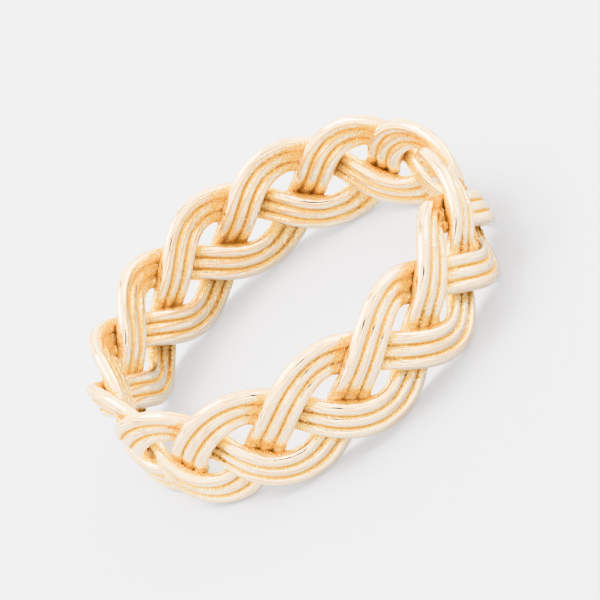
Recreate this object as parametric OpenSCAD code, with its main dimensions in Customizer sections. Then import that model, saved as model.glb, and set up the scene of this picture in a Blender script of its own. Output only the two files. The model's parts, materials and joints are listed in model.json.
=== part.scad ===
// Braided band ring: a flat three-strand plait closed round a finger.
// Every strand is three round wires fused side by side.
// Millimetres. The finger runs along Z, and the band lies on its lower edge at Z = 0.

/* [Ring] */
// Width of the clear round opening for the finger
finger_d = 17.1; // [15:0.1:21]
// Angle round the finger of one bight of the upper edge
first_bight = 13.3; // [0:0.1:27]

/* [Plait] */
// Number of bights along each edge of the band
bights = 13; // [11, 13, 14]
// How far a strand's centre swings to each side of the band's middle
swing = 1.78; // [1.6:0.01:1.9]
// How pointed the swing is, as a share of the swing
swing_point = 0.097; // [0:0.001:0.11]
// How far a strand rises over the next one, and dips under it, from the band's middle
weave = 0.46; // [0.44:0.01:0.6]
// How far a strand hangs back before a crossing, as a share of the step between two bights
lag = 0.0735; // [0:0.0005:0.08]

/* [Strand] */
// Thickness of each round wire
wire_d = 0.60; // [0.5:0.01:0.62]
// Distance between the centres of two wires side by side
wire_step = 0.565; // [0.48:0.005:0.59]

/* [Smoothness] */
// Turn of the weave from one cross-section to the next
section_turn = 12; // [8, 12, 15, 20]

/* [Hidden] */
// A full weave is 360 degrees: 90 at the upper edge, 270 at the lower edge.
// A strand is on top at 30 and 210, and underneath at 150 and 330.
weave_turn = 360;
// Three strands share the band, a third of a weave apart.
strand_count = 3;
strand_phase = weave_turn / strand_count;
// Angle round the finger from one bight to the next
bight_step = 360 / bights;
// Weave that one strand goes through in one trip round the finger
strand_turn = strand_phase * bights;
section_count = strand_turn / section_turn;
// Weave phase at which the three strands meet end to end, on the side of the ring
join_turn = 30 + 2 * weave_turn;
upper_edge_turn = 90;

wire_r = wire_d / 2;
// Distance from the finger's axis to the middle of the band's thickness
band_r = finger_d / 2 + wire_r + weave;
// Height of the band's middle line above its lower edge
band_half_h = swing * (1 + swing_point) + wire_step + wire_r;
// Direction in which a wire's round ends at the groove between two wires
groove_angle = acos(wire_step / 2 / wire_r);
// Straight sides across a middle wire's top, and round an outer wire
middle_sides = 3;
outer_sides = 6;
// Small step of the weave used to find which way a strand runs
heading_step = 0.5;

function unit(v) = v / norm(v);

// Angle round the finger, sideways swing and distance from the axis at one phase of the weave
function travel(turn) = first_bight
    + (turn - upper_edge_turn) / strand_phase * bight_step
    - lag * bight_step * sin(2 * turn);
function sideways(turn) = swing * (sin(turn) - swing_point * sin(3 * turn));
function outward(turn) = band_r + weave * sin(2 * turn);

// Centre of the strand
function centre(turn) = [
    outward(turn) * cos(travel(turn)),
    outward(turn) * sin(travel(turn)),
    band_half_h + sideways(turn)
];

// Unit directions at one phase: along the strand, out of its face, and across its wires
function along(turn) = unit(centre(turn + heading_step) - centre(turn - heading_step));
function away_from_axis(turn) = [cos(travel(turn)), sin(travel(turn)), 0];
function out_of_face(turn) = unit(
    away_from_axis(turn) - (away_from_axis(turn) * along(turn)) * along(turn)
);
function across(turn) = cross(out_of_face(turn), along(turn));

// Points of one wire's round, from one angle to another, with or without its two ends
function wire_arc(middle, from, to, sides, ends) = [
    for (i = [(ends ? 0 : 1) : (ends ? sides : sides - 1)])
        let (a = from + (to - from) * i / sides)
        [middle + wire_r * cos(a), wire_r * sin(a)]
];

// Outline of the three fused wires, counterclockwise, as [across, out] pairs
outline = concat(
    wire_arc(wire_step, groove_angle - 180, 180 - groove_angle, outer_sides, true),
    wire_arc(0, groove_angle, 180 - groove_angle, middle_sides, false),
    wire_arc(-wire_step, groove_angle, 360 - groove_angle, outer_sides, true),
    wire_arc(0, groove_angle - 180, -groove_angle, middle_sides, false)
);
sides = len(outline);
// Where each wire's points lie in the outline
first_wire = [for (i = [0 : outer_sides]) i];
last_wire = [for (i = [0 : outer_sides]) outer_sides + middle_sides + i];
middle_wire = concat(
    [for (i = [outer_sides : outer_sides + middle_sides]) i],
    [for (i = [2 * outer_sides + middle_sides : sides - 1]) i],
    [0]
);

// The outline stood square to the strand at one phase
function section(turn) =
    let (
        here = centre(turn),
        out = out_of_face(turn),
        side = across(turn)
    )
    [for (p = outline) here + p[0] * side + p[1] * out];

// One strand, swept once round the finger and closed by a flat end at each join
module strand(number) {
    start = join_turn + number * strand_turn;
    points = [
        for (i = [0 : section_count])
            each section(start + i * section_turn)
    ];
    skin = [
        for (i = [0 : section_count - 1], j = [0 : sides - 1])
            let (
                near = i * sides + j,
                near_next = i * sides + (j + 1) % sides,
                far = near + sides,
                far_next = near_next + sides
            )
            each [[near, far, far_next], [near, far_next, near_next]]
    ];
    start_end = [first_wire, middle_wire, last_wire];
    far_end = [
        for (face = start_end)
            [for (i = [len(face) - 1 : -1 : 0]) face[i] + section_count * sides]
    ];
    polyhedron(points = points, faces = concat(skin, start_end, far_end));
}

module strand_a() {
    color([0.93, 0.79, 0.54]) strand(0);
}

module strand_b() {
    color([0.95, 0.82, 0.58]) strand(1);
}

module strand_c() {
    color([0.90, 0.75, 0.50]) strand(2);
}

strand_a();
strand_b();
strand_c();
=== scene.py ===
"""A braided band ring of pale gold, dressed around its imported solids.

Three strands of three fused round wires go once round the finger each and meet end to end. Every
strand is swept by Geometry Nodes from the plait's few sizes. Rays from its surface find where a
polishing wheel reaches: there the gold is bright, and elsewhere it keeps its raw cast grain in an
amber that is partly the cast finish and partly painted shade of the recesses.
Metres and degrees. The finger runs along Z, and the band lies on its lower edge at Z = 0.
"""

import json
import math

import bpy
from mathutils import Matrix, Vector


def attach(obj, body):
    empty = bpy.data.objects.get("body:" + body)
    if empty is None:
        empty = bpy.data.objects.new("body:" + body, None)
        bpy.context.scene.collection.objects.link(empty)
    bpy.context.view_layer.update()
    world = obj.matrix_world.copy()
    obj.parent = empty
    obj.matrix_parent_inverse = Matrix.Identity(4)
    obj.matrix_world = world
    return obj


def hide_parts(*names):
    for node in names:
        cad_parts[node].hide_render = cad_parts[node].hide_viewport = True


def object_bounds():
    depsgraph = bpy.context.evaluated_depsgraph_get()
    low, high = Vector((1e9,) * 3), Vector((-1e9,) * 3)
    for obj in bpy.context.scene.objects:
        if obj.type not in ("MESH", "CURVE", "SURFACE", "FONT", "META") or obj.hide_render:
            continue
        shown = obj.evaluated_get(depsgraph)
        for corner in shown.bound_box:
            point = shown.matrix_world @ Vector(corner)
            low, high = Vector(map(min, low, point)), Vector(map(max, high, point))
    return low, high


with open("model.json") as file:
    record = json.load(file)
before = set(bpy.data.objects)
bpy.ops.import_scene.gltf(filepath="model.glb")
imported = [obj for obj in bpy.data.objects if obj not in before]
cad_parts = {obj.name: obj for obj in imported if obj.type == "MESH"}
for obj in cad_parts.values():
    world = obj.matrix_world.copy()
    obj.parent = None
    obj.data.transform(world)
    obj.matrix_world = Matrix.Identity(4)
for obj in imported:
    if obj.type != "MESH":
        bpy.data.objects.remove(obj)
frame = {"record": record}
CAD_LOW, CAD_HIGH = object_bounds()

MM = 0.001

# The plait, as the solids have it
STRANDS = ["strand_a", "strand_b", "strand_c"]
BODY = "root"
FINGER = next(mount for mount in frame["record"]["mounts"] if mount["name"] == "finger")
FINGER_RADIUS = FINGER["dims"]["r_mm"] * MM
BIGHTS = 13
WEAVE = 0.46 * MM
WIRE_RADIUS = 0.30 * MM
STRAND_PHASE = 360 / len(STRANDS)
STRAND_TURN = STRAND_PHASE * BIGHTS
# Phase of the weave at which the first strand starts, where the three meet end to end
JOIN_TURN = 750.0
PLAIT = {
    "Band Radius": FINGER_RADIUS + WIRE_RADIUS + WEAVE,
    "Band Half Height": (CAD_HIGH.z - CAD_LOW.z) / 2,
    "First Bight": 13.3,
    "Bight Step": 360 / BIGHTS,
    "Lag": 0.0735,
    "Swing": 1.78 * MM,
    "Swing Point": 0.097,
    "Weave": WEAVE,
    "Wire Radius": WIRE_RADIUS,
    "Wire Step": 0.565 * MM,
}

# How finely a strand is swept: sides of an outer wire and of each face of the middle wire
FINE = {"Sections": 1120, "Outer Sides": 31, "Middle Sides": 13}
COARSE = {"Sections": 280, "Outer Sides": 15, "Middle Sides": 7}


class Tree:
    """A node tree, with short calls that add a node and give back its output as a term."""

    def __init__(self, tree):
        self.tree = tree

    def node(self, kind, inputs=None, **settings):
        """One node, with its settings, and its inputs by name or number."""
        made = self.tree.nodes.new(kind)
        for name, value in settings.items():
            setattr(made, name, value)
        for name, value in (inputs or {}).items():
            self.feed(made.inputs[name], value)
        return made

    def feed(self, socket, value):
        """Links a term to a socket, or sets the socket to a plain value."""
        if isinstance(value, Term):
            self.tree.links.new(value.socket, socket)
        else:
            socket.default_value = value

    def out(self, node, name=0):
        """A node's output, by name or number."""
        return Term(self, node.outputs[name])

    def math(self, operation, *values):
        """The result of one sum on numbers."""
        node = self.node("ShaderNodeMath", dict(enumerate(values)), operation=operation)
        return self.out(node)

    def vector(self, operation, *values):
        """The result of one sum on vectors."""
        node = self.node("ShaderNodeVectorMath", dict(enumerate(values)), operation=operation)
        return self.out(node, "Value" if operation in ("DOT_PRODUCT", "LENGTH") else "Vector")

    def scale(self, vector, factor):
        """A vector made longer or shorter."""
        node = self.node("ShaderNodeVectorMath", {"Vector": vector, "Scale": factor}, operation="SCALE")
        return self.out(node, "Vector")

    def combine(self, x, y, z):
        """A vector from its three parts."""
        return self.out(self.node("ShaderNodeCombineXYZ", {0: x, 1: y, 2: z}))

    def sine(self, degrees):
        """The sine of an angle in degrees."""
        return self.math("SINE", degrees * math.radians(1))

    def cosine(self, degrees):
        """The cosine of an angle in degrees."""
        return self.math("COSINE", degrees * math.radians(1))

    def step(self, value, low, high):
        """Smoothly 0 below low and 1 above high, or the other way round where low is above high."""
        turned = not isinstance(low, Term) and not isinstance(high, Term) and low > high
        if turned:
            low, high = high, low
        node = self.node(
            "ShaderNodeMapRange",
            {"Value": value, "From Min": low, "From Max": high},
            interpolation_type="SMOOTHSTEP",
        )
        return 1 - self.out(node) if turned else self.out(node)

    def between(self, mask, none, full):
        """A value that goes from one number to another as a mask goes from 0 to 1."""
        return mask * (full - none) + none

    def noise(self, position, size, detail=2.0, roughness=0.5, shift=0.0):
        """Grain from 0 to 1 whose lumps have the given size. A shift gives other grain."""
        # In millimetres first, because a plain number on a scale socket has an upper limit.
        place = self.scale(self.scale(position, 1 / MM), MM / size)
        node = self.node(
            "ShaderNodeTexNoise",
            {
                "Vector": self.vector("ADD", place, (shift, shift * 2, shift * 3)),
                "Scale": 1.0,
                "Detail": detail,
                "Roughness": roughness,
            },
        )
        return self.out(node, 0)

    def group(self, tree, inputs):
        """Another tree placed in this one."""
        return self.node(self.kind_of_group(), inputs, node_tree=tree)

    def kind_of_group(self):
        """The kind of node that holds a group in this tree."""
        return "ShaderNodeGroup" if self.tree.type == "SHADER" else "GeometryNodeGroup"


class Term:
    """A node's output that sums can be written with."""

    def __init__(self, tree, socket):
        self.tree = tree
        self.socket = socket

    def __add__(self, other):
        return self.tree.math("ADD", self, other)

    __radd__ = __add__

    def __sub__(self, other):
        return self.tree.math("SUBTRACT", self, other)

    def __rsub__(self, other):
        return self.tree.math("SUBTRACT", other, self)

    def __mul__(self, other):
        return self.tree.math("MULTIPLY", self, other)

    __rmul__ = __mul__

    def __truediv__(self, other):
        return self.tree.math("DIVIDE", self, other)

    def __rtruediv__(self, other):
        return self.tree.math("DIVIDE", other, self)


SOCKETS = {
    "geometry": "NodeSocketGeometry",
    "material": "NodeSocketMaterial",
    "vector": "NodeSocketVector",
    "number": "NodeSocketFloat",
    "count": "NodeSocketInt",
}


def new_group(name, kind, inputs, outputs):
    """An empty node group, its inputs as terms by name, and its output node.

    A number among the inputs is its own default, a whole one makes a count, and a word names a kind.
    """
    group = bpy.data.node_groups.new(name, kind)
    for title, value in inputs.items():
        word = value if isinstance(value, str) else "count" if isinstance(value, int) else "number"
        socket = group.interface.new_socket(title, in_out="INPUT", socket_type=SOCKETS[word])
        if not isinstance(value, str):
            socket.default_value = value
    for title, word in outputs.items():
        group.interface.new_socket(title, in_out="OUTPUT", socket_type=SOCKETS[word])
    tree = Tree(group)
    given = tree.node("NodeGroupInput")
    terms = {title: tree.out(given, title) for title in inputs}
    return tree, terms, tree.node("NodeGroupOutput")


def only(terms, names):
    """The terms that have these names."""
    return {name: terms[name] for name in names}


# Shape of a strand


def strand_centre():
    """Group for the centre of a strand at one phase of the weave, 90 at the upper edge."""
    tree, given, result = new_group(
        "strand centre", "GeometryNodeTree", {"Turn": 0.0, **PLAIT}, {"Centre": "vector"}
    )
    turn = given["Turn"]
    lag = given["Lag"] * given["Bight Step"] * tree.sine(turn * 2)
    travel = given["First Bight"] + (turn - 90) / STRAND_PHASE * given["Bight Step"] - lag
    sideways = given["Swing"] * (tree.sine(turn) - given["Swing Point"] * tree.sine(turn * 3))
    outward = given["Band Radius"] + given["Weave"] * tree.sine(turn * 2)
    height = given["Band Half Height"] + sideways
    centre = tree.combine(outward * tree.cosine(travel), outward * tree.sine(travel), height)
    tree.feed(result.inputs["Centre"], centre)
    return tree.tree


def strand_point(centre_group):
    """Group for a point of the section that stands square to the strand at one phase."""
    tree, given, result = new_group(
        "strand point",
        "GeometryNodeTree",
        {"Turn": 0.0, "Across": 0.0, "Out": 0.0, **PLAIT},
        {"Position": "vector", "Out of Face": "vector"},
    )
    # Small step of the weave used to find which way the strand runs
    heading_step = 0.5

    def centre(turn):
        """The strand's centre at one phase."""
        return tree.out(tree.group(centre_group, {"Turn": turn, **only(given, PLAIT)}))

    here = centre(given["Turn"])
    ahead = centre(given["Turn"] + heading_step)
    behind = centre(given["Turn"] - heading_step)
    along = tree.vector("NORMALIZE", tree.vector("SUBTRACT", ahead, behind))
    away = tree.vector("NORMALIZE", tree.vector("MULTIPLY", here, (1, 1, 0)))
    lean = tree.scale(along, tree.vector("DOT_PRODUCT", away, along))
    out_of_face = tree.vector("NORMALIZE", tree.vector("SUBTRACT", away, lean))
    across = tree.vector("CROSS_PRODUCT", out_of_face, along)
    sideways = tree.scale(across, given["Across"])
    outwards = tree.scale(out_of_face, given["Out"])
    place = tree.vector("ADD", here, tree.vector("ADD", sideways, outwards))
    tree.feed(result.inputs["Position"], place)
    tree.feed(result.inputs["Out of Face"], out_of_face)
    return tree.tree


def swept_strand(point_group):
    """Group for one strand, swept through the weave, with one row too many at each end.

    It stores each point's phase of the weave as turn, its distance along the surface to the
    nearest groove as groove, and the move that would bring it up level with the crests of the
    wires, where it lies between them, as level. The end rows and the rows beyond them have at end
    set. The rows beyond also have beyond above 0, and as lid the places on the wires' middle line
    where they close the ends.
    """
    sizes = {"Start Turn": 0.0, "Turn Span": STRAND_TURN, **FINE, **PLAIT}
    tree, given, result = new_group(
        "swept strand", "GeometryNodeTree", sizes, {"Mesh": "geometry"}
    )
    outer, middle = given["Outer Sides"], given["Middle Sides"]
    sides = (outer + middle) * 2
    # The row beyond each end keeps the surface smooth up to the end until the strand is finished.
    rows = given["Sections"] + 2
    grid = tree.node(
        "GeometryNodeMeshGrid",
        {"Size X": sides, "Size Y": rows, "Vertices X": sides + 1, "Vertices Y": rows + 1},
    )
    place = tree.node("ShaderNodeSeparateXYZ", {0: tree.out(tree.node("GeometryNodeInputPosition"))})
    side = tree.math("FLOORED_MODULO", tree.math("ROUND", tree.out(place, 0) + sides / 2), sides)
    row = tree.math("ROUND", tree.out(place, 1) + rows / 2) - 1
    last_row = given["Sections"]
    end_row = tree.math("MINIMUM", tree.math("MAXIMUM", row, 0), last_row)
    beyond = tree.math("ABSOLUTE", row - end_row)
    half_rows = last_row / 2
    at_end = tree.math("GREATER_THAN", tree.math("ABSOLUTE", row - half_rows), half_rows - 0.5)

    # The outline has four arcs: an outer wire, the middle wire's face, the other wire and the back.
    starts = [0, outer, outer + middle, outer * 2 + middle]
    arc = tree.math("GREATER_THAN", side, starts[1] - 0.5)
    for start in starts[2:]:
        arc = arc + tree.math("GREATER_THAN", side, start - 0.5)

    def by_arc(values):
        """For each point, the value of the arc that it lies on."""
        chosen = tree.node("GeometryNodeIndexSwitch", data_type="FLOAT")
        while len(chosen.index_switch_items) < len(values):
            chosen.index_switch_items.new()
        tree.feed(chosen.inputs["Index"], arc)
        for number, value in enumerate(values):
            tree.feed(chosen.inputs[number + 1], value)
        return tree.out(chosen)

    groove = tree.math("ARCCOSINE", given["Wire Step"] / 2 / given["Wire Radius"])
    half_turn = math.pi
    first_angle = by_arc([groove - half_turn, groove, groove, groove - half_turn])
    outer_sweep = 2 * half_turn - groove * 2
    middle_sweep = half_turn - groove * 2
    sweep = by_arc([outer_sweep, middle_sweep, outer_sweep, middle_sweep])
    share = (side - by_arc(starts)) / by_arc([outer, middle, outer, middle])
    wire_middle = by_arc([given["Wire Step"], 0.0, given["Wire Step"] * -1, 0.0])
    angle = first_angle + sweep * share
    across = wire_middle + given["Wire Radius"] * tree.math("COSINE", angle)
    out = given["Wire Radius"] * tree.math("SINE", angle)
    groove_distance = tree.math("MINIMUM", share, 1 - share) * sweep * given["Wire Radius"]

    def turn_of(row):
        """The phase of the weave at a row."""
        return given["Start Turn"] + given["Turn Span"] * row / last_row

    def section_point(row, across, out):
        """A point of the section at a row."""
        place = {"Turn": turn_of(row), "Across": across, "Out": out}
        return tree.group(point_group, {**place, **only(given, PLAIT)})

    point = section_point(row, across, out)
    # A little inside the rim, so that no face of the lid is squashed flat against it
    lid_width = 0.95
    lid = section_point(end_row, across * lid_width, 0.0)
    between = tree.math("LESS_THAN", tree.math("ABSOLUTE", across), given["Wire Step"])
    sunk = (given["Wire Radius"] - tree.math("ABSOLUTE", out)) * between
    level = tree.scale(tree.out(point, "Out of Face"), sunk * tree.math("SIGN", out))
    mesh = store(tree, tree.out(grid, "Mesh"), "groove", groove_distance)
    mesh = store(tree, mesh, "turn", turn_of(row))
    mesh = store(tree, mesh, "level", level, "FLOAT_VECTOR")
    mesh = store(tree, mesh, "beyond", beyond)
    mesh = store(tree, mesh, "at end", at_end)
    mesh = store(tree, mesh, "lid", tree.out(lid), "FLOAT_VECTOR")
    moved = tree.node("GeometryNodeSetPosition", {"Geometry": mesh, "Position": tree.out(point)})
    smooth = tree.node("GeometryNodeSetShadeSmooth", {"Geometry": tree.out(moved)})
    tree.feed(result.inputs["Mesh"], welded(tree, tree.out(smooth)))
    return tree.tree


def welded(tree, mesh, chosen=True):
    """The mesh with chosen points that share a place made one."""
    node = tree.node(
        "GeometryNodeMergeByDistance",
        {"Geometry": mesh, "Selection": chosen, "Distance": 0.0005 * MM},
    )
    return tree.out(node)


def store(tree, mesh, name, value, data_type="FLOAT"):
    """The mesh with a number or a vector stored on each of its points."""
    node = tree.node(
        "GeometryNodeStoreNamedAttribute",
        {"Geometry": mesh, "Name": name},
        data_type=data_type,
        domain="POINT",
    )
    tree.feed(node.inputs["Value"], value)
    return tree.out(node)


def stored(tree, name, data_type="FLOAT"):
    """The number or vector stored on each point under a name."""
    node = tree.node("GeometryNodeInputNamedAttribute", {"Name": name}, data_type=data_type)
    return tree.out(node)


def openness_group():
    """Group that stores how open each point lies: 1 in the open, 0 deep between strands.

    Rays go from each point over the half space that its normal faces. A ray that meets metal
    within the reach counts as closed, the more so the nearer the metal is.
    """
    tree, given, result = new_group(
        "openness",
        "GeometryNodeTree",
        {"Mesh": "geometry", "Metal": "geometry", "Rays": 48, "Reach": 1.5 * MM, "Lift": 0.02 * MM},
        {"Mesh": "geometry"},
    )
    start = tree.node("GeometryNodeRepeatInput")
    end = tree.node("GeometryNodeRepeatOutput")
    start.pair_with_output(end)
    tree.feed(start.inputs["Iterations"], given["Rays"])
    tree.feed(start.inputs["Geometry"], store(tree, given["Mesh"], "closed", 0.0))

    golden_angle = 137.508
    number = tree.out(start, "Iteration")
    height = (number + 0.5) / given["Rays"]
    ring = tree.math("SQRT", 1 - height * height)
    ray = tree.combine(
        ring * tree.cosine(number * golden_angle), ring * tree.sine(number * golden_angle), height
    )
    normal = tree.out(tree.node("GeometryNodeInputNormal"))
    facing = tree.vector("DOT_PRODUCT", ray, normal)
    ray = tree.scale(ray, tree.math("SIGN", facing))
    place = tree.out(tree.node("GeometryNodeInputPosition"))
    cast = tree.node(
        "GeometryNodeRaycast",
        {
            "Target Geometry": given["Metal"],
            "Source Position": tree.vector("ADD", place, tree.scale(normal, given["Lift"])),
            "Ray Direction": ray,
            "Ray Length": given["Reach"],
        },
    )
    nearness = 1 - tree.out(cast, "Hit Distance") / given["Reach"]
    shut = tree.out(cast, "Is Hit") * nearness * tree.math("ABSOLUTE", facing)
    # The facing of evenly spread rays averages a half.
    share = shut / given["Rays"] * 2
    mesh = store(tree, tree.out(start, "Geometry"), "closed", stored(tree, "closed") + share)
    tree.feed(end.inputs["Geometry"], mesh)
    blur_rounds = 3
    soft = tree.node(
        "GeometryNodeBlurAttribute",
        {"Value": stored(tree, "closed"), "Iterations": blur_rounds},
        data_type="FLOAT",
    )
    mesh = store(tree, tree.out(end, "Geometry"), "open", 1 - tree.out(soft))
    tree.feed(result.inputs["Mesh"], mesh)
    return tree.tree


FINISH = {
    # How open a point lies where the polish fails, and where it is full
    "Cast Below": 0.52,
    "Polished Above": 0.97,
    # How much more open a point must lie in a dip for the same polish
    "Dip Shade": 0.05,
    # How much more open the finger's side must lie for the same polish
    "Finger Side": 0.10,
    # Raw cast grain
    "Grain Depth": 0.04 * MM,
    "Grain Size": 0.12 * MM,
    # Share of a groove that metal fills, along a strand and where it dips under the next
    "Groove Fill": 0.16,
    "Dip Fill": 0.75,
    "Tooth Size": 0.12 * MM,
    # How far a strand's metal rises to meet the next one where they cross
    "Web": 0.16 * MM,
}
# Phase of the weave at which a strand dips under the next, seen from outside and from the finger,
# twice in each full weave, and how far from there the dip starts and is full
OUTER_DIP = 150
FINGER_DIP = 60
DIP_STARTS = 50
DIP_FULL = 28
# How open a point lies where metal starts to rise to the next strand, and where it is full
WEB_STARTS = 0.78
WEB_FULL = 0.38
# Patches that are polished a little more or less than the rest
PATCH_SIZE = 0.3 * MM
PATCH_STRENGTH = 0.2


def dressed_strand(swept_group, open_group):
    """Tree for one finished strand, from its place among the three."""
    tree, given, result = new_group(
        "dressed strand",
        "GeometryNodeTree",
        {"Geometry": "geometry", "Number": 0, "Material": "material", **FINISH, **FINE, **PLAIT},
        {"Geometry": "geometry"},
    )

    def strand(number, fineness):
        """One of the three strands, swept finely or coarsely."""
        start = number * STRAND_TURN + JOIN_TURN
        sizes = {"Start Turn": start, **fineness, **only(given, PLAIT)}
        return tree.out(tree.group(swept_group, sizes))

    metal = tree.node("GeometryNodeJoinGeometry")
    for number in range(len(STRANDS)):
        tree.feed(metal.inputs[0], strand(number, COARSE))
    fine = strand(given["Number"], only(given, FINE))
    lit = tree.group(open_group, {"Mesh": fine, "Metal": tree.out(metal)})

    place = tree.out(tree.node("GeometryNodeInputPosition"))
    normal = tree.out(tree.node("GeometryNodeInputNormal"))
    away = tree.vector("NORMALIZE", tree.vector("MULTIPLY", place, (1, 1, 0)))
    facing = tree.vector("DOT_PRODUCT", away, normal)
    outward = tree.math("MAXIMUM", facing, 0.0)
    inward = tree.math("MAXIMUM", facing * -1, 0.0)

    def dip(middle):
        """1 where the strand is deepest under the next, for one of its two faces."""
        past = tree.math("FLOORED_MODULO", stored(tree, "turn") - middle + 90, 180.0) - 90
        return tree.step(tree.math("ABSOLUTE", past), DIP_STARTS, DIP_FULL)

    dipping = dip(OUTER_DIP) * outward + dip(FINGER_DIP) * inward
    # 1 on the face that passes over the others, 0 on the one that passes under
    over = tree.sine(stored(tree, "turn") * 2) * facing * 0.5 + 0.5
    patch = tree.noise(place, PATCH_SIZE) * PATCH_STRENGTH - PATCH_STRENGTH / 2
    worn = stored(tree, "open") + patch - inward * given["Finger Side"] - dipping * given["Dip Shade"]
    polish = tree.node(
        "ShaderNodeMapRange",
        {"Value": worn, "From Min": given["Cast Below"], "From Max": given["Polished Above"]},
        interpolation_type="SMOOTHSTEP",
    )
    mesh = store(tree, tree.out(lit), "polish", tree.out(polish))
    mesh = store(tree, mesh, "over", over)
    cast = 1 - stored(tree, "polish")
    grain = tree.noise(place, given["Grain Size"], detail=2.0, roughness=0.6) - 0.5
    web = tree.step(stored(tree, "open"), WEB_STARTS, WEB_FULL) * dipping * given["Web"]
    rise = tree.scale(normal, grain * cast * given["Grain Depth"] * 2 + web)
    tooth = tree.noise(place, given["Tooth Size"], shift=50) * 2
    fill = (given["Groove Fill"] + given["Dip Fill"] * dipping) * tooth
    shift = tree.vector("ADD", rise, tree.scale(stored(tree, "level", "FLOAT_VECTOR"), fill))
    mesh = tree.node("GeometryNodeSetPosition", {"Geometry": mesh, "Offset": shift})
    # The rows beyond the ends fold in to close them with flat faces.
    folding = {"Selection": stored(tree, "beyond"), "Position": stored(tree, "lid", "FLOAT_VECTOR")}
    mesh = tree.node("GeometryNodeSetPosition", {"Geometry": tree.out(mesh), **folding})
    flat = {"Selection": stored(tree, "beyond"), "Shade Smooth": False}
    mesh = tree.node("GeometryNodeSetShadeSmooth", {"Geometry": tree.out(mesh), **flat})
    closed = welded(tree, tree.out(mesh), stored(tree, "at end"))
    real = tree.node("GeometryNodeRealizeInstances", {"Geometry": closed})
    painted = tree.node(
        "GeometryNodeSetMaterial", {"Geometry": tree.out(real), "Material": given["Material"]}
    )
    tree.feed(result.inputs["Geometry"], tree.out(painted))
    return tree.tree


def made_by_nodes(name, tree, values):
    """A plain mesh object that a Geometry Nodes tree makes from named values."""
    holder = bpy.data.objects.new(name, bpy.data.meshes.new(name))
    bpy.context.scene.collection.objects.link(holder)
    modifier = holder.modifiers.new("shape", "NODES")
    modifier.node_group = tree
    for item in tree.interface.items_tree:
        if item.item_type == "SOCKET" and item.in_out == "INPUT" and item.name in values:
            modifier[item.identifier] = values[item.name]
    shape = holder.evaluated_get(bpy.context.evaluated_depsgraph_get())
    mesh = bpy.data.meshes.new_from_object(shape)
    holder.modifiers.remove(modifier)
    holder.data = mesh
    mesh.name = name
    return holder


# Finish of the gold


def raw_cast_group():
    """Shader group for the fine grain and layer lines that casting leaves, from 0 to 1."""
    tree, given, result = new_group(
        "raw cast grain",
        "ShaderNodeTree",
        {"Grain Size": 0.095 * MM, "Layer Step": 0.105 * MM, "Contrast": 6.0, "Layer Share": 0.47},
        {"Grain": "number"},
    )
    place = tree.out(tree.node("ShaderNodeTexCoord"), "Object")
    grain = tree.noise(place, given["Grain Size"], detail=2.0, roughness=0.6)
    grain = (grain - 0.5) * given["Contrast"] + 0.5
    wander_size = 0.6 * MM
    wander_layers = 1.5
    wander = tree.noise(place, wander_size) * wander_layers
    # The wax pattern was built in flat layers that lie across this direction.
    build_direction = (0.905, -0.206, -0.371)
    depth = tree.vector("DOT_PRODUCT", place, build_direction)
    layers = tree.sine((depth / given["Layer Step"] + wander) * 360) * 0.5 + 0.5
    mixed = grain + (layers - grain) * given["Layer Share"]
    tree.feed(result.inputs["Grain"], mixed)
    return tree.tree


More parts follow.
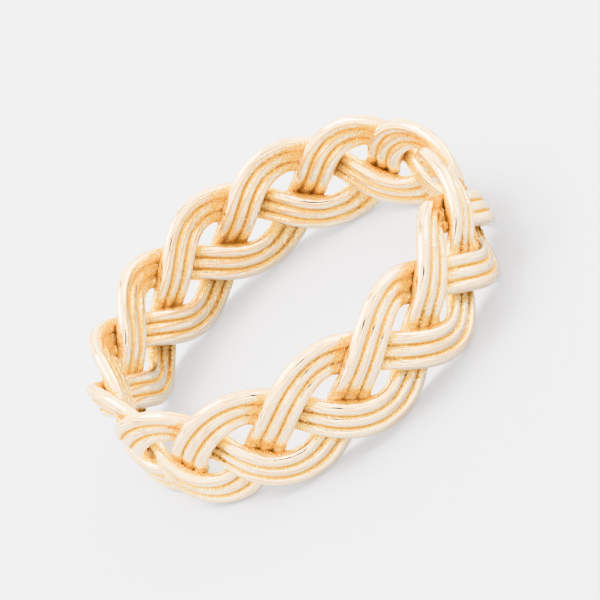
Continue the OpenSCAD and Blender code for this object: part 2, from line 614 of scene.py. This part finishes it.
def gold_material(relief_group):
    """Pale gold: bright where polished, amber and rough where it stays as cast, with painted shade and
    highlights.
    """
    material = bpy.data.materials.new("pale_gold")
    material.use_nodes = True
    material.node_tree.nodes.clear()
    tree = Tree(material.node_tree)
    place = tree.out(tree.node("ShaderNodeTexCoord"), "Object")

    def attribute(name):
        """A number that the strand's mesh stores."""
        return tree.out(tree.node("ShaderNodeAttribute", attribute_name=name), "Fac")

    relief = tree.group(relief_group, {})
    # Polish softens the grain where a strand passes over the others.
    over = attribute("over")
    grain = (tree.out(relief, "Grain") - 0.5) * tree.between(over, 1.05, 0.50) + 0.5
    polish = attribute("polish")
    # The edge of the polish is broken up by the grain.
    bright = tree.step(polish + (grain - 0.5) * (1.1 - polish) * 1.5, 0.38, 0.92)
    cast = 1 - bright
    # How open a point lies where a recess starts, and where it is full: masks for painted shade there
    openness = attribute("open")
    deep = tree.step(openness, 0.80, 0.45)
    closed = tree.step(openness, 0.75, 0.38)
    # Millimetres from a groove, made ragged, and where its amber band and dark core start and fill:
    # both partly unpolished metal and partly painted shade of the crease
    tooth = (tree.noise(place, 0.09 * MM, detail=2.0, shift=20) - 0.5) * 0.15
    groove_edge = attribute("groove") / MM - tooth + (grain - 0.5) * 0.10
    band = tree.step(groove_edge, 0.20, 0.04)
    core = tree.step(groove_edge, 0.085, 0.015)
    # Low grain holds dark specks, partly the grain's own dark and partly painted shade, more so in
    # recesses;
    # high grain takes painted glints, fewer in recesses.
    pit_and_shade = tree.step(grain - closed * 0.30, 0.62, 0.14) * cast
    painted_glint = tree.step(grain, 0.54, 0.90) * cast * tree.between(closed, 1, 0.45)
    # Some lengths of groove hold more dark than others.
    groove_patchiness = tree.step(tree.noise(place, 1.2 * MM, detail=1.0, shift=90), 0.38, 0.60)

    def blend(amount, one, other):
        """One colour turned into another by an amount from 0 to 1."""
        node = tree.node("ShaderNodeMix", {"Factor": amount}, data_type="RGBA")
        tree.feed(node.inputs[6], one)
        tree.feed(node.inputs[7], other)
        return tree.out(node, 2)

    # Faint lines along the wires, partly as drawing and polishing leave them and partly painted
    # reflection streaks
    line_width = 0.035 * MM
    line_turn = 30
    wobble = tree.noise(place, 0.8 * MM) * 3
    lines = tree.combine(attribute("groove") / line_width, attribute("turn") / line_turn, wobble)
    lines = tree.noise(lines, 1.0, detail=1.0)
    drawn_and_reflection_lines = tree.step(lines, 0.42, 0.66)

    polished = (0.985, 0.91, 0.80, 1)
    rosy = (0.88, 0.66, 0.48, 1)
    # Amber of the cast finish and the groove bands, partly painted shade of the recesses and creases
    amber = (0.97, 0.73, 0.34, 1)
    # Painted shade deep in the recesses
    recess_shade_amber = (0.82, 0.51, 0.15, 1)
    orange = (0.86, 0.55, 0.21, 1)
    brown = (0.75, 0.45, 0.20, 1)
    # Polished wires, then what lies over them: recesses with painted shade, painted glints, and grooves
    # and pits that are partly painted shade
    # Rosy lines on the polished wires: partly drawing lines, partly painted reflections
    colour = blend(drawn_and_reflection_lines * 0.7, polished, rosy)
    colour = blend(bright, amber, colour)
    # Painted shade: the cast metal turns a deeper amber the further it lies in a recess
    colour = blend(closed * cast * 0.8, colour, recess_shade_amber)
    # Painted glints: specks of the polished colour on the cast grain
    colour = blend(painted_glint * 0.75, colour, polished)
    # Amber band along each groove, partly unpolished metal and partly painted shade of the crease
    colour = blend(band * 0.7, colour, amber)
    # Groove cores, partly unpolished metal and partly painted shade, darker on the face that passes
    # under the next strand
    groove_orange = core * tree.between(groove_patchiness, 0.50, 0.80) * tree.between(over, 1.1, 0.6)
    groove_brown = core * tree.between(groove_patchiness, 0.70, 1.0) * tree.between(over, 0.95, 0.20)
    colour = blend(groove_orange, colour, orange)
    # Pits, partly the grain's own dark and partly painted shade that deepens in recesses
    colour = blend(pit_and_shade * tree.between(deep, 0.35, 0.95), colour, brown)
    colour = blend(groove_brown, colour, brown)
    roughness = tree.between(bright, 0.48, 0.09) + band * 0.1
    grain_depth = 0.02 * MM
    ripple_depth = 0.004 * MM
    line_depth = 0.002 * MM
    ripple = tree.noise(place, 0.35 * MM, shift=70)
    height = grain * cast * grain_depth + ripple * ripple_depth + lines * line_depth
    bump = tree.node("ShaderNodeBump", {"Height": height, "Distance": 1.0})
    shader = tree.node(
        "ShaderNodeBsdfPrincipled",
        {
            "Base Color": colour,
            "Roughness": roughness,
            "Metallic": 1.0,
            "Normal": tree.out(bump),
        },
    )
    output = tree.node("ShaderNodeOutputMaterial", {"Surface": tree.out(shader)})
    output.is_active_output = True
    return material


# Room


def floor_material():
    """Plain pale white."""
    material = bpy.data.materials.new("pale_floor")
    material.use_nodes = True
    shader = material.node_tree.nodes["Principled BSDF"]
    shader.inputs["Base Color"].default_value = (0.125, 0.126, 0.129, 1)
    shader.inputs["Roughness"].default_value = 0.8
    # A little light of its own keeps the shadows on it faint.
    shader.inputs["Emission Color"].default_value = (0.99, 0.99, 1.0, 1)
    shader.inputs["Emission Strength"].default_value = 0.54
    return material


def add_floor():
    """A wide pale floor under the ring."""
    half = 0.5
    corners = [(-half, -half, 0), (half, -half, 0), (half, half, 0), (-half, half, 0)]
    mesh = bpy.data.meshes.new("floor")
    mesh.from_pydata(corners, [], [(0, 1, 2, 3)])
    floor = bpy.data.objects.new("floor", mesh)
    bpy.context.scene.collection.objects.link(floor)
    mesh.materials.append(floor_material())


def direction(azimuth, elevation):
    """Unit vector towards a place: azimuth 0 is the camera's side, 90 is on its right."""
    flat = math.cos(math.radians(elevation))
    return Vector(
        (
            math.sin(math.radians(azimuth)) * flat,
            -math.cos(math.radians(azimuth)) * flat,
            math.sin(math.radians(elevation)),
        )
    )


def oval(tree, ray, azimuth, elevation, wide, tall):
    """1 inside a soft-edged oval of the room, given by half its width and height in degrees."""
    middle = direction(azimuth, elevation)
    across = direction(azimuth + 90, 0)
    right = tree.vector("DOT_PRODUCT", ray, tuple(across)) / math.sin(math.radians(wide))
    up = tree.vector("DOT_PRODUCT", ray, tuple(middle.cross(across))) / math.sin(math.radians(tall))
    facing = tree.math("GREATER_THAN", tree.vector("DOT_PRODUCT", ray, tuple(middle)), 0.0)
    rim_ends = 1.3
    rim_starts = 0.5
    return tree.step(right * right + up * up, rim_ends, rim_starts) * facing


def add_room():
    """A white room, with one dark oval where the camera stands."""
    world = bpy.data.worlds.new("white_room")
    bpy.context.scene.world = world
    world.use_nodes = True
    world.node_tree.nodes.clear()
    tree = Tree(world.node_tree)
    ray = tree.out(tree.node("ShaderNodeTexCoord"), "Generated")
    height = tree.out(tree.node("ShaderNodeSeparateXYZ", {0: ray}), 2)
    # Brighter towards the ceiling
    strength = tree.between(tree.step(height, 0.1, 0.9), 1.58, 1.83)
    # Softly uneven all round
    panels = tree.noise(ray, 0.36, detail=1.0, shift=3)
    strength = strength * tree.between(tree.step(panels, 0.36, 0.48), 0.50, 1.18)
    camera_shape = oval(tree, ray, azimuth=12, elevation=34, wide=10, tall=9)
    strength = strength * tree.between(camera_shape, 1, 0.03)
    light = tree.node("ShaderNodeBackground", {"Color": (1.0, 0.98, 0.965, 1), "Strength": strength})
    tree.node("ShaderNodeOutputWorld", {"Surface": tree.out(light)})
    # Keeps middle tones as they are and lets the brightest gold fade to cream
    bpy.context.scene.view_settings.view_transform = "Khronos PBR Neutral"


# How far the lamps stand from the ring, in metres
LAMP_DISTANCE = 0.4


def add_softbox(name, azimuth, elevation, size, power):
    """A square area light that faces the ring, its size in metres and its power in watts."""
    light = bpy.data.lights.new(name, "AREA")
    light.size = size
    light.energy = power
    lamp = bpy.data.objects.new(name, light)
    lamp.location = direction(azimuth, elevation) * LAMP_DISTANCE
    lamp.rotation_euler = direction(azimuth, elevation).to_track_quat("Z", "Y").to_euler()
    bpy.context.scene.collection.objects.link(lamp)


def add_camera():
    """The photograph's view of the ring, from above the floor."""
    camera_back = 133.97 * MM
    camera_height = 75.71 * MM
    looking_down = 28.6
    heading = -0.2
    roll = -38.95
    data = bpy.data.cameras.new("camera")
    data.lens = 200.04
    data.sensor_width = 36.0
    data.clip_start = 1 * MM
    data.clip_end = 10.0
    camera = bpy.data.objects.new("camera", data)
    place = Matrix.Translation((0, -camera_back, camera_height))
    turn = Matrix.Rotation(math.radians(heading), 4, "Z")
    tilt = Matrix.Rotation(math.radians(90 - looking_down), 4, "X")
    lean = Matrix.Rotation(math.radians(roll), 4, "Z")
    camera.matrix_world = place @ turn @ tilt @ lean
    bpy.context.scene.collection.objects.link(camera)
    bpy.context.scene.camera = camera


def build_ring():
    """The three finished strands, each in place of its solid."""
    centre = strand_centre()
    swept = swept_strand(strand_point(centre))
    dressed = dressed_strand(swept, openness_group())
    gold = gold_material(raw_cast_group())
    for number, node in enumerate(STRANDS):
        piece = made_by_nodes(f"{node}_gold", dressed, {"Number": number, "Material": gold})
        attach(piece, BODY)
        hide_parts(node)


add_camera()
add_floor()
add_room()
add_softbox("left_softbox", azimuth=-115, elevation=68, size=0.24, power=3.0)
add_softbox("right_softbox", azimuth=95, elevation=28, size=0.25, power=0.7)
build_ring()
